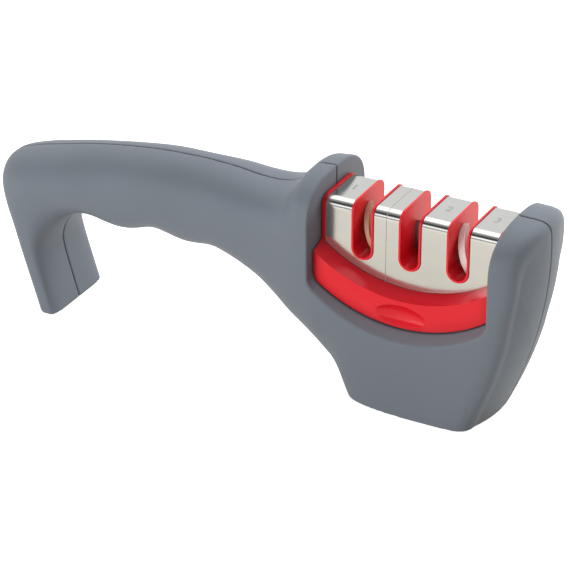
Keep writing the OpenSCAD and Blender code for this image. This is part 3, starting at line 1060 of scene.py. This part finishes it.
@dataclass
class Cover:
    """The brushed steel cover with its three cut-outs, numbers and etched line."""

    drawing: Drawing
    edge: float = 0.12
    number_size: float = 5.0
    number_lift: float = 0.015
    number_places: tuple[tuple[str, float], ...] = (("1", -1.5), ("2", 0.5), ("3", 1.5))
    line_width: float = 0.22
    line_place: float = -0.5
    tuck_sides: int = 256

    def build(self, steel: Material) -> None:
        """Makes the bent sheet.

        Args:
            steel: Its material.
        """
        size = self.drawing
        half, top, corner = size.cover_depth / 2, size.cover_top, size.cover_shoulder
        sheet = size.cover_sheet
        section = hood(half, top, corner, size.sill_height)
        section += hood(half - sheet, top - sheet, corner - sheet, size.sill_height)[::-1]
        left, right = size.head_x - size.cover_length / 2, size.head_x + size.cover_length / 2
        cover = prism("steel_cover_sheet", section, Axis.X, left, right)
        reach = size.smile_radius - size.ledge_rise + size.cover_tuck
        disc = lathe("tuck", [(reach, -size.width), (reach, size.width)],
                     (size.head_x, 0, size.arc_centre), Axis.Y, self.tuck_sides)
        combine(cover, [disc], "INTERSECT")
        cuts = []
        for number in size.slots:
            x, round_z = size.slot_x(number), size.slot_floor + size.slot_width / 2
            outline = arc((x, round_z), size.slot_width / 2, 180, 360, SLOT_SEGMENTS)
            outline += [(x + size.slot_width / 2, size.height + OVER),
                        (x - size.slot_width / 2, size.height + OVER)]
            cuts.append(prism(f"cut_{number}", outline, Axis.Y, -size.width, size.width))
        combine(cover, cuts)
        soften(cover, self.edge, angle=50)
        fit_out(cover, Body.CARTRIDGE, Slot.COVER, steel, "steel_cover")

    def marks(self, etched: Material) -> None:
        """Makes the stage numbers and the etched line across the cover.

        Args:
            etched: Their material.
        """
        size = self.drawing
        pieces = []
        for text, number in self.number_places:
            curve = bpy.data.curves.new(f"number_{text}", "FONT")
            curve.body = text
            curve.size = self.number_size * MM
            curve.align_x, curve.align_y = "CENTER", "CENTER"
            label = put_in_scene(f"number_{text}", curve)
            bpy.context.view_layer.update()
            mesh = bpy.data.meshes.new_from_object(
                label.evaluated_get(bpy.context.evaluated_depsgraph_get()))
            bpy.data.objects.remove(label)
            mesh.transform(Matrix.Translation(Vector(
                (size.slot_x(number), 0, size.cover_top + self.number_lift)) * MM))
            pieces.append(mesh)
        x = size.slot_x(self.line_place)
        path = hood(size.cover_depth / 2 + self.number_lift, size.cover_top + self.number_lift,
                    size.cover_shoulder, size.ledge_z + OVER)
        points = [(x + side * self.line_width / 2, y, z) for y, z in path for side in (-1, 1)]
        faces = [[2 * i, 2 * i + 1, 2 * i + 3, 2 * i + 2] for i in range(len(path) - 1)]
        strip = mesh_piece("etched_marks", points, faces)
        with opened(strip.data) as work:
            for mesh in pieces:
                work.from_mesh(mesh)
                bpy.data.meshes.remove(mesh)
        fit_out(strip, Body.CARTRIDGE, Slot.COVER, etched)


@dataclass
class Cartridge:
    """The red cartridge halves and the beads that line the cover's cut-outs."""

    drawing: Drawing
    edge: float = 0.3
    dimple_length: float = 18.0
    dimple_height: float = 7.4
    dimple_depth: float = 2.0
    dimple_drop: float = 0.5
    dimple_steps: int = 25
    dimple_sides: int = 96
    bead_sides: int = 12

    def halves(self, plastic: Material) -> None:
        """Finishes both halves on copies of the construction's own solids.

        Args:
            plastic: Their material.
        """
        for side in Side:
            node = f"cartridge_{side.name.lower()}"
            half = node_copy(node, f"{node}_moulding")
            if side is Side.FRONT:
                combine(half, [self.dimple()])
            soften(half, self.edge, segments=3)
            fit_out(half, Body.CARTRIDGE, Slot.CARTRIDGE, plastic, node)

    def dimple(self) -> Object:
        """Spindle that cuts the crisp oval dimple, a little over the construction's own.

        Returns:
            The closed form.
        """
        size, deep, reach = self.drawing, self.dimple_depth, self.dimple_length / 2
        belly = ((self.dimple_height / 2) ** 2 + deep ** 2) / (2 * deep)
        bow = (reach ** 2 + deep ** 2) / (2 * deep)
        profile = [(belly - bow + math.sqrt(bow ** 2 - x ** 2), x)
                   for x in np.linspace(-reach, reach, self.dimple_steps)]
        middle = (size.head_x, -size.tray_depth / 2 - belly + deep,
                  size.ledge_z - size.band_height / 2 - self.dimple_drop)
        return lathe("dimple", profile, middle, Axis.X, self.dimple_sides)

    def bead_path(self) -> list[Spot]:
        """Middle line of one bead, round a cut-out at x = 0, over both shoulders.

        Returns:
            Points in millimetres.
        """
        size = self.drawing
        reach = (size.slot_width - size.bead) / 2
        lift = (size.bead_proud - size.bead) / 2
        half, top = size.cover_depth / 2 + lift, size.cover_top + lift
        corner = size.cover_shoulder + lift
        low = size.slot_floor + size.slot_width / 2
        over = hood(half, top, corner, low)
        points = [(reach, y, z) for y, z in over]
        round_end = arc((0, low), reach, 0, -180, SLOT_SEGMENTS)[1:-1]
        points += [(x, -half, z) for x, z in round_end]
        points += [(-reach, y, z) for y, z in over[::-1]]
        points += [(x, half, z) for x, z in round_end[::-1]]
        return points

    def beads(self, plastic: Material) -> None:
        """Sets a rounded bead round each of the three cut-outs.

        Args:
            plastic: Their material.
        """
        size = self.drawing
        path = np.array(self.bead_path()) + (size.head_x, 0, 0)
        ring = mesh_piece("slot_beads", path,
                          edges=[(i, (i + 1) % len(path)) for i in range(len(path))])
        tree = GeometryTree("slot_beads", ("Bead Width", "Slot Pitch"))
        middle, width, pitch = tree.source.outputs[:3]
        line = tree.add("GeometryNodeMeshToCurve", {"Mesh": middle})
        profile = tree.add("GeometryNodeCurvePrimitiveCircle", {
            "Resolution": self.bead_sides, "Radius": tree.scaled(width, 0.5)})
        tube = tree.add("GeometryNodeCurveToMesh", {"Curve": line.outputs[0],
                                                    "Profile Curve": profile.outputs[0]})
        copies = tree.add("GeometryNodeMeshLine", {
            "Count": len(size.slots), "Offset": tree.vector(pitch),
            "Start Location": tree.vector(tree.scaled(pitch, float(size.slots[0])))})
        placed = tree.add("GeometryNodeInstanceOnPoints", {"Points": copies.outputs[0],
                                                           "Instance": tube.outputs[0]})
        smooth = tree.add("GeometryNodeSetShadeSmooth", {0: placed.outputs[0]})
        tree.finish(smooth.outputs[0], plastic)
        tree.run(ring, bead_width=size.bead * MM, slot_pitch=size.slot_pitch * MM)
        outward(ring)
        fit_out(ring, Body.CARTRIDGE, Slot.CARTRIDGE, plastic)


@dataclass
class Abrasives:
    """The six abrasive pieces, seated in the cartridge halves."""

    edge: float = 0.12

    def build(self, kind: str, slot: Slot, material: Material) -> None:
        """Finishes a crossed pair.

        Args:
            kind: The pair's name, as the construction has it.
            slot: Its material slot.
            material: Its material.
        """
        for side in Side:
            node = f"{kind}_{side.name.lower()}"
            piece = node_copy(node, f"{node}_stone")
            soften(piece, self.edge)
            fit_out(piece, Body.CARTRIDGE, slot, material, node)


# Finishes


def opaque(colour: Colour) -> tuple[float, ...]:
    """A colour with full cover, as shader sockets want it."""
    return (*colour, 1.0)


@dataclass
class ShaderTree(TreeFiller):
    """A shader tree, of a material, a group or a world."""

    tree: NodeTree

    def group(self, group: NodeTree, **values: object) -> Node:
        """Places a node group and sets its inputs, named as for fill."""
        return self.fill(self.add("ShaderNodeGroup", node_tree=group), **values)

    def remap(self, value: NodeSocket, low: object, high: object, to_low: object = 0.0,
              to_high: object = 1.0) -> NodeSocket:
        """Maps a value from one range to another, and clamps it there."""
        return self.add("ShaderNodeMapRange", {0: value, 1: low, 2: high, 3: to_low,
                                               4: to_high}).outputs[0]

    def pick(self, share: NodeSocket, first: object, second: object) -> NodeSocket:
        """Goes from the first value to the second while the share goes from 0 to 1."""
        return self.remap(share, 0.0, 1.0, first, second)

    def rays(self, *kinds: str) -> NodeSocket:
        """1 for rays of the named kinds, and 0 for others.

        Args:
            *kinds: Names of the light path's outputs.

        Returns:
            The value.
        """
        path = self.add("ShaderNodeLightPath")
        found = path.outputs[kinds[0]]
        for kind in kinds[1:]:
            found = self.math("MAXIMUM", found, path.outputs[kind])
        return found

    def noise(self, place: NodeSocket, scale: object, detail: float = 2.0,
              roughness: float = 0.5) -> NodeSocket:
        """A noise value between 0 and 1."""
        return self.add("ShaderNodeTexNoise", {"Vector": place, "Scale": scale, "Detail": detail,
                                               "Roughness": roughness}).outputs[0]

    def blend(self, factor: object, first: object, second: object) -> NodeSocket:
        """Mixes two colours."""
        node = self.add("ShaderNodeMix", {0: factor, 6: first, 7: second}, data_type="RGBA")
        return node.outputs[2]


def shader_group(name: str, inputs: dict[str, float | tuple[float, ...]],
                 outputs: dict[str, str]) -> tuple[ShaderTree, Node, Node]:
    """Starts a node group with named sockets.

    Args:
        name: The group's name.
        inputs: Default of each input; a tuple makes a colour.
        outputs: Kind of each output, Float or Color.

    Returns:
        The tree, its input node and its output node.
    """
    tree = bpy.data.node_groups.new(name, "ShaderNodeTree")
    for title, value in inputs.items():
        kind = "Color" if isinstance(value, tuple) else "Float"
        socket = tree.interface.new_socket(title, in_out="INPUT",
                                           socket_type=f"NodeSocket{kind}")
        socket.default_value = value
    for title, kind in outputs.items():
        tree.interface.new_socket(title, in_out="OUTPUT", socket_type=f"NodeSocket{kind}")
    return ShaderTree(tree), tree.nodes.new("NodeGroupInput"), tree.nodes.new("NodeGroupOutput")


def moulded_grain_group() -> NodeTree:
    """Fine eroded grain of a moulding: a height, and a mask of its shinier tops.

    Returns:
        The group.
    """
    work, source, sink = shader_group(
        "moulded_grain", {"Grain Scale": 2200.0, "Coarse Share": 0.02, "Waviness": 0.3},
        {"Height": "Float", "Tops": "Float"})
    scale, share, waviness = source.outputs[:3]
    place = work.add("ShaderNodeTexCoord").outputs["Object"]
    fine = work.noise(place, scale, detail=3.0, roughness=0.6)
    coarse = work.noise(place, work.scaled(scale, share))
    work.fill(sink, height=work.math("ADD", fine, work.scaled(coarse, waviness)),
              tops=work.remap(fine, low=0.45, high=0.65))
    return work.tree


def handled_tone_group() -> NodeTree:
    """Slow changes of colour that handling and moulding leave.

    Returns:
        The group.
    """
    work, source, sink = shader_group(
        "handled_tone", {"Colour": (0.5, 0.5, 0.5, 1.0), "Shade": (0.4, 0.4, 0.4, 1.0),
                         "Patch Scale": 25.0, "Amount": 0.5}, {"Colour": "Color"})
    colour, shade, scale, amount = source.outputs[:4]
    place = work.add("ShaderNodeTexCoord").outputs["Object"]
    patches = work.noise(place, scale, detail=3.0, roughness=0.55)
    factor = work.scaled(work.remap(patches, low=0.35, high=0.7), amount)
    work.fill(sink, colour=work.blend(factor, colour, shade))
    return work.tree


def edge_highlight_and_wear_group() -> NodeTree:
    """Convex edges, painted lighter as a highlight where a moulding or a sheet catches more light,
    and as wear.

    Returns:
        The group.
    """
    work, source, sink = shader_group(
        "worn_edge", {"Start": 0.53, "End": 0.62, "Speck Scale": 400.0, "Break Up": 0.3},
        {"Mask": "Float"})
    start, end, scale, share = source.outputs[:4]
    place = work.add("ShaderNodeTexCoord").outputs["Object"]
    pointed = work.add("ShaderNodeNewGeometry").outputs["Pointiness"]
    speck = work.scaled(work.noise(place, scale, detail=3.0), share)
    edge = work.remap(pointed, start, end)
    work.fill(sink, mask=work.math("SUBTRACT", edge, speck, clamp=True))
    return work.tree


def brushed_group() -> NodeTree:
    """Brushing along X: long fine lines, as a height and as a tone.

    Returns:
        The group.
    """
    work, source, sink = shader_group(
        "brushed_lines", {"Line Scale": 3000.0, "Stretch": 0.02, "Contrast": 0.5,
                          "Broad Share": 0.15, "Fine Part": 0.7},
        {"Height": "Float", "Tone": "Float"})
    scale, stretch, contrast, share, part = source.outputs[:5]
    place = work.add("ShaderNodeTexCoord").outputs["Object"]
    x, y, z = work.add("ShaderNodeSeparateXYZ", {0: place}).outputs
    squeezed = work.vector(work.scaled(x, stretch), y, z)
    fine = work.noise(squeezed, scale, detail=3.0, roughness=0.7)
    broad = work.noise(squeezed, work.scaled(scale, share))
    tone = work.remap(work.pick(part, broad, fine), low=0.35, high=0.65)
    work.fill(sink, height=fine, tone=work.scaled(tone, contrast))
    return work.tree


@dataclass(frozen=True)
class Groups:
    """The shader groups that the finishes share, each built once."""

    grain: NodeTree = field(default_factory=moulded_grain_group)
    tone: NodeTree = field(default_factory=handled_tone_group)
    edge: NodeTree = field(default_factory=edge_highlight_and_wear_group)
    brushed: NodeTree = field(default_factory=brushed_group)


def emptied(holder: Material | World) -> ShaderTree:
    """Gives a material or a world an empty tree to fill.

    Args:
        holder: The material or world.

    Returns:
        Its tree.
    """
    holder.use_nodes = True
    holder.node_tree.nodes.clear()
    return ShaderTree(holder.node_tree)


@dataclass(frozen=True, kw_only=True)
class Finish:
    """What all finishes share: a tone between two colours, a roughness and a relief."""

    name: str
    colour: Colour
    shade: Colour
    roughness: float
    spread: float
    relief: float
    relief_height: float

    def tone(self, work: ShaderTree, groups: Groups, **values: object) -> NodeSocket:
        """The finish's colour, with the slow changes of the tone group."""
        return work.group(groups.tone, colour=opaque(self.colour), shade=opaque(self.shade),
                          **values).outputs[0]

    def dress(self, work: ShaderTree, height: NodeSocket, **values: object) -> None:
        """Ends a material in its Principled BSDF.

        Args:
            work: The material's tree.
            height: The relief.
            **values: The shader's inputs, named as for fill.
        """
        bump = work.add("ShaderNodeBump", {"Strength": self.relief, "Height": height,
                                           "Distance": self.relief_height * MM})
        shader = work.fill(work.add("ShaderNodeBsdfPrincipled"), normal=bump.outputs[0], **values)
        work.add("ShaderNodeOutputMaterial", {"Surface": shader.outputs[0]})


@dataclass(frozen=True, kw_only=True)
class MouldedFinish(Finish):
    """Moulded plastic, rubber or pressed stone: grain, slow tone changes and lighter edges, a
    painted highlight and partly wear.
    """

    edge_colour: Colour
    grain_scale: float = 2200.0
    relief: float = 0.05
    relief_height: float = 0.2
    # Painted shade where other surfaces stand close: its colour, how far it looks and where it
    # starts
    crevice_shade_colour: Colour | None = None
    crevice_shade_reach: float = 5.0
    crevice_shade_limit: float = 0.4
    specular: float = 0.5

    def material(self, groups: Groups) -> Material:
        """Builds the material.

        Args:
            groups: The shared shader groups.

        Returns:
            The material.
        """
        material = bpy.data.materials.new(self.name)
        work = emptied(material)
        edge = work.group(groups.edge)
        grain = work.group(groups.grain, grain_scale=self.grain_scale)
        # Painted highlight, partly wear: convex edges take the lighter edge colour
        colour = work.blend(edge.outputs[0], self.tone(work, groups), opaque(self.edge_colour))
        if self.crevice_shade_colour:
            # Painted shade: the colour darkens where other surfaces stand close, by ambient
            # occlusion
            near = work.add("ShaderNodeAmbientOcclusion", {"Distance": self.crevice_shade_reach * MM})
            free = work.remap(near.outputs["AO"], self.crevice_shade_limit, 1.0)
            colour = work.blend(free, opaque(self.crevice_shade_colour), colour)
        rough = work.pick(grain.outputs["Tops"], self.roughness, self.roughness - self.spread)
        self.dress(work, grain.outputs["Height"], base_color=colour, roughness=rough,
                   specular_ior_level=self.specular)
        return material


@dataclass(frozen=True, kw_only=True)
class MetalFinish(Finish):
    """Brushed or plated metal: lines along X and patches of gloss."""

    spread: float = 0.1
    line_scale: float = 3000.0
    relief: float = 0.08
    relief_height: float = 0.1
    stretch: float = 0.02
    contrast: float = 0.4
    tone_limit: float = 0.5
    patch_scale: float = 60.0
    patch_amount: float = 0.3
    anisotropy: float = 0.0

    def material(self, groups: Groups) -> Material:
        """Builds the material.

        Args:
            groups: The shared shader groups.

        Returns:
            The material.
        """
        material = bpy.data.materials.new(self.name)
        work = emptied(material)
        lines = work.group(groups.brushed, line_scale=self.line_scale, stretch=self.stretch,
                           contrast=self.contrast)
        tone = self.tone(work, groups, patch_scale=self.patch_scale, amount=self.patch_amount)
        colour = work.blend(lines.outputs["Tone"], tone, opaque(self.shade))
        rough = work.remap(lines.outputs["Tone"], 0.0, self.tone_limit, self.roughness,
                           self.roughness + self.spread)
        self.dress(work, lines.outputs["Height"], base_color=colour, roughness=rough,
                   metallic=1.0, anisotropic=self.anisotropy)
        return material


# Each edge colour is a painted highlight on convex edges, partly wear
HOUSING_PLASTIC = MouldedFinish(
    name="housing_matt_plastic", colour=(0.172, 0.194, 0.225), shade=(0.158, 0.18, 0.207),
    edge_colour=(0.18, 0.202, 0.232), roughness=0.56, spread=0.12, relief=0.12, specular=0.35)
# The red's darker colour is painted shade in narrow gaps and slots
RED_PLASTIC = MouldedFinish(
    name="cartridge_red_plastic", colour=(0.82, 0.01, 0.024), shade=(0.78, 0.008, 0.018),
    edge_colour=(0.83, 0.016, 0.03), crevice_shade_colour=(0.46, 0.001, 0.007), roughness=0.27,
    spread=0.04, grain_scale=4000.0, relief=0.015, specular=0.4)
PAD_RUBBER = MouldedFinish(
    name="pad_rubber", colour=(0.03, 0.03, 0.033), shade=(0.022, 0.022, 0.024),
    edge_colour=(0.05, 0.05, 0.053), roughness=0.8, spread=0.1, grain_scale=1200.0, relief=0.4)
WHITE_CERAMIC = MouldedFinish(
    name="ceramic_stone", colour=(0.86, 0.84, 0.8), shade=(0.8, 0.78, 0.74),
    edge_colour=(0.93, 0.92, 0.9), roughness=0.45, spread=0.1, grain_scale=3000.0, relief=0.1)
DIAMOND_GRIT = MouldedFinish(
    name="diamond_grit", colour=(0.6, 0.42, 0.29), shade=(0.42, 0.28, 0.18),
    edge_colour=(0.75, 0.58, 0.44), roughness=0.55, spread=0.25, grain_scale=5000.0, relief=0.6)
COVER_STEEL = MetalFinish(
    name="cover_brushed_steel", colour=(0.64, 0.64, 0.62), shade=(0.56, 0.56, 0.54),
    roughness=0.13, spread=0.05, anisotropy=0.3)
ETCHED_STEEL = MetalFinish(
    name="etched_steel", colour=(0.4, 0.39, 0.37), shade=(0.33, 0.32, 0.31), roughness=0.5,
    contrast=0.2)
SCREW_STEEL = MetalFinish(
    name="screw_zinc", colour=(0.6, 0.6, 0.6), shade=(0.5, 0.5, 0.5), roughness=0.35,
    stretch=0.5)
CARBIDE_GREY = MetalFinish(
    name="ground_carbide", colour=(0.32, 0.32, 0.33), shade=(0.24, 0.24, 0.25), roughness=0.3,
    line_scale=5000.0)


# Studio


@dataclass(frozen=True)
class Lamp:
    """A soft square lamp: bearing and height in degrees, size in millimetres, power in watts."""

    name: str
    azimuth: float
    elevation: float
    size: float
    power: float


@dataclass
class Studio:
    """Floor, backdrop, light and the camera at the photograph's viewing angle."""

    azimuth: float = 28.10
    elevation: float = 28.10
    focal_pixels: float = 2772.3
    distance: float = 928.36
    target: Spot = (6.44, 0.0, 25.38)
    lamps: tuple[Lamp, ...] = (
        Lamp("key", -24, 3, 600, 7.5), Lamp("fill", 138, 18, 500, 3.0),
        Lamp("rim", 180, 38, 500, 7.5))
    lamp_reach: float = 900.0
    floor_size: float = 3000.0
    floor_level: float = -0.02
    white: float = 1.0
    floor_paper: float = 0.62
    floor_glow: float = 0.9
    floor_gloss: float = 0.5
    floor_tint: Colour = (1.0, 0.9, 0.72)
    # Angles round the X axis, from the rear horizon over the top to the front one, with the
    # brightness that glosses mirror from there, and the light that the object gets from there
    mirrored: tuple[Point, ...] = (
        (0, 0.9), (42, 1.0), (52, 1.9), (98, 1.9), (106, 0.45), (122, 0.35), (129, 0.07),
        (148, 0.06), (154, 1.8), (161, 1.8), (167, 0.6), (180, 0.45))
    lighting: tuple[Point, ...] = ((0, 0.7), (50, 0.6), (130, 0.58), (180, 0.76))
    # Loss of that light towards both ends, and what glosses mirror low on the left
    end_drop: float = 1.0
    left_glow: float = 3.0
    left_reach: Point = (-0.75, -0.55)
    low_reach: Point = (0.85, 0.92)

    def aim(self, piece: Object, azimuth: float, elevation: float, reach: float) -> None:
        """Sets a camera or lamp at a bearing from the target, and turns it to the target.

        Args:
            piece: The camera or lamp.
            azimuth: Its bearing in degrees, 0 in front and 90 beyond the nose.
            elevation: Its height above the horizon in degrees.
            reach: Its distance in millimetres.
        """
        az, el = math.radians(azimuth), math.radians(elevation)
        back = Vector((math.sin(az) * math.cos(el), -math.cos(az) * math.cos(el), math.sin(el)))
        piece.location = (Vector(self.target) + back * reach) * MM
        piece.rotation_mode = "QUATERNION"
        piece.rotation_quaternion = (-back).to_track_quat("-Z", "Y")

    def camera(self) -> None:
        """Makes the camera."""
        data = bpy.data.cameras.new("camera")
        data.sensor_width = SENSOR_WIDTH
        data.lens = self.focal_pixels / PHOTO_WIDTH * SENSOR_WIDTH
        camera = put_in_scene("camera", data)
        self.aim(camera, self.azimuth, self.elevation, self.distance)
        bpy.context.scene.camera = camera

    def tent(self, work: ShaderTree, turn: NodeSocket,
             levels: Sequence[Point]) -> NodeSocket:
        """Brightness of the light tent round the X axis.

        Args:
            work: The world's tree.
            turn: Angle as a share of half a turn.
            levels: Angles in degrees and their brightness.

        Returns:
            The brightness.
        """
        peak = max(level for _, level in levels)
        ramp = work.add("ShaderNodeValToRGB", {0: turn})
        stops = ramp.color_ramp.elements
        while len(stops) < len(levels):
            stops.new(1.0)
        for stop, (angle, level) in zip(stops, levels):
            stop.position = angle / 180
            stop.color = (level / peak,) * 3 + (1,)
        return work.scaled(ramp.outputs[0], peak)

    def backdrop(self) -> None:
        """Makes the world: white where the camera looks, a light tent where it is mirrored."""
        world = bpy.data.worlds.new("studio")
        work = emptied(world)
        way = work.add("ShaderNodeTexCoord").outputs["Generated"]
        across, deep, high = work.add("ShaderNodeSeparateXYZ", {0: way}).outputs
        turn = work.math("DIVIDE", work.math("ARCTAN2", high, deep), math.pi)
        open_side = work.pick(work.scaled(across, across), 1.0, 1.0 - self.end_drop)
        left = work.remap(across, *self.left_reach, self.left_glow, 0.0)
        glow = work.scaled(left, work.remap(turn, *self.low_reach))
        bright = work.pick(work.rays("Is Glossy Ray"),
                           work.scaled(self.tent(work, turn, self.lighting), open_side),
                           work.math("ADD", self.tent(work, turn, self.mirrored), glow))
        strength = work.pick(work.rays("Is Camera Ray", "Is Transmission Ray"), bright,
                             self.white)
        light = work.add("ShaderNodeBackground", {"Color": (1, 1, 1, 1), "Strength": strength})
        work.add("ShaderNodeOutputWorld", {"Surface": light.outputs[0]})
        bpy.context.scene.world = world

    def floor(self) -> None:
        """Makes a pale floor that keeps a faint shadow."""
        half = self.floor_size / 2
        corners = ((-half, -half), (half, -half), (half, half), (-half, half))
        floor = mesh_piece("studio_floor", [(x, y, self.floor_level) for x, y in corners],
                           [range(4)])
        material = bpy.data.materials.new("studio_floor")
        work = emptied(material)
        paper = work.add("ShaderNodeBsdfDiffuse", {"Color": opaque((self.floor_paper,) * 3)})
        mirrored = work.rays("Is Glossy Ray")
        glow = work.add("ShaderNodeEmission", {
            "Color": work.blend(mirrored, (1, 1, 1, 1), opaque(self.floor_tint)),
            "Strength": work.pick(mirrored, self.floor_glow, self.floor_gloss)})
        both = work.add("ShaderNodeAddShader", {0: paper.outputs[0], 1: glow.outputs[0]})
        seen = work.rays("Is Camera Ray", "Is Glossy Ray", "Is Transmission Ray")
        shown = work.add("ShaderNodeMixShader", {0: seen, 1: paper.outputs[0],
                                                 2: both.outputs[0]})
        work.add("ShaderNodeOutputMaterial", {"Surface": shown.outputs[0]})
        floor.data.materials.append(material)

    def hang(self, lamp: Lamp) -> None:
        """Hangs a lamp that faces the object, and that glosses don't mirror.

        Args:
            lamp: The lamp.
        """
        data = bpy.data.lights.new(lamp.name, "AREA")
        data.shape = "SQUARE"
        data.size = lamp.size * MM
        data.energy = lamp.power
        piece = put_in_scene(lamp.name, data)
        piece.visible_glossy = False
        self.aim(piece, lamp.azimuth, lamp.elevation, self.lamp_reach)

    def build(self) -> None:
        """Sets up the whole studio."""
        self.camera()
        self.backdrop()
        self.floor()
        for lamp in self.lamps:
            self.hang(lamp)
        bpy.context.scene.view_settings.view_transform = "Standard"


def main() -> None:
    """Builds every sub-assembly in order."""
    logging.basicConfig(level=logging.INFO, format="%(name)s %(message)s")
    drawing, groups = Drawing(), Groups()
    housing, pads = Housing(drawing), Pads(drawing)
    screw_steel = SCREW_STEEL.material(groups)
    grey = HOUSING_PLASTIC.material(groups)
    red = RED_PLASTIC.material(groups)
    Studio().build()
    for side in Side:
        shell = housing.half(side, pads)
        fit_out(shell, Body.HOUSING, Slot.HOUSING, grey, f"housing_{side.name.lower()}")
    pads.build(PAD_RUBBER.material(groups))
    Screws(drawing, housing).build(screw_steel)
    cartridge = Cartridge(drawing)
    cartridge.halves(red)
    cartridge.beads(red)
    cover = Cover(drawing)
    cover.build(COVER_STEEL.material(groups))
    cover.marks(ETCHED_STEEL.material(groups))
    stones = Abrasives()
    stones.build("diamond_plate", Slot.DIAMOND, DIAMOND_GRIT.material(groups))
    stones.build("carbide_blade", Slot.CARBIDE, CARBIDE_GREY.material(groups))
    stones.build("ceramic_plate", Slot.CERAMIC, WHITE_CERAMIC.material(groups))


if __name__ == "__main__":
    main()
